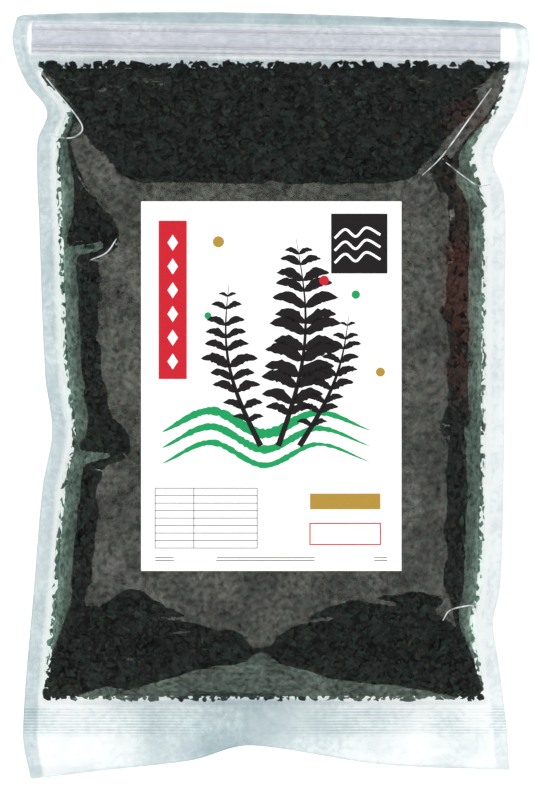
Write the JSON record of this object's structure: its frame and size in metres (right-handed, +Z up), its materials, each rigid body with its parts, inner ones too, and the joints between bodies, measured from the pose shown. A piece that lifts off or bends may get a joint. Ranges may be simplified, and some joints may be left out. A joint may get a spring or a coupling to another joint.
{
  "type": "pouch of dried cut wakame",
  "caption": "Clear flat zip pouch packed full of dried cut wakame seaweed, lying on its back, with a large paper label on its front.",
  "frame": {"origin": "under the middle of the pouch's outline, on the surface that the pouch lies on", "axes": "+Z up from that surface, +Y from the foot to the zip, +X to the right as the front is looked at"},
  "size_m": [0.3, 0.446, 0.0615],
  "materials": {
    "clear_film": "clear, glossy, heat welded along three edges",
    "zip_profile": "extruded, slightly cloudy",
    "label_paper": "coated white, printed",
    "dried_blade": "dried, cut and crumpled, blackish green"
  },
  "bodies": {
    "root": {"film_front": "clear_film", "film_back": "clear_film", "label": "label_paper", "wakame_flakes": "dried_blade", "zip_rib_tape": "zip_profile", "zip_channel_tape": "zip_profile"}
  },
  "joints": []
}
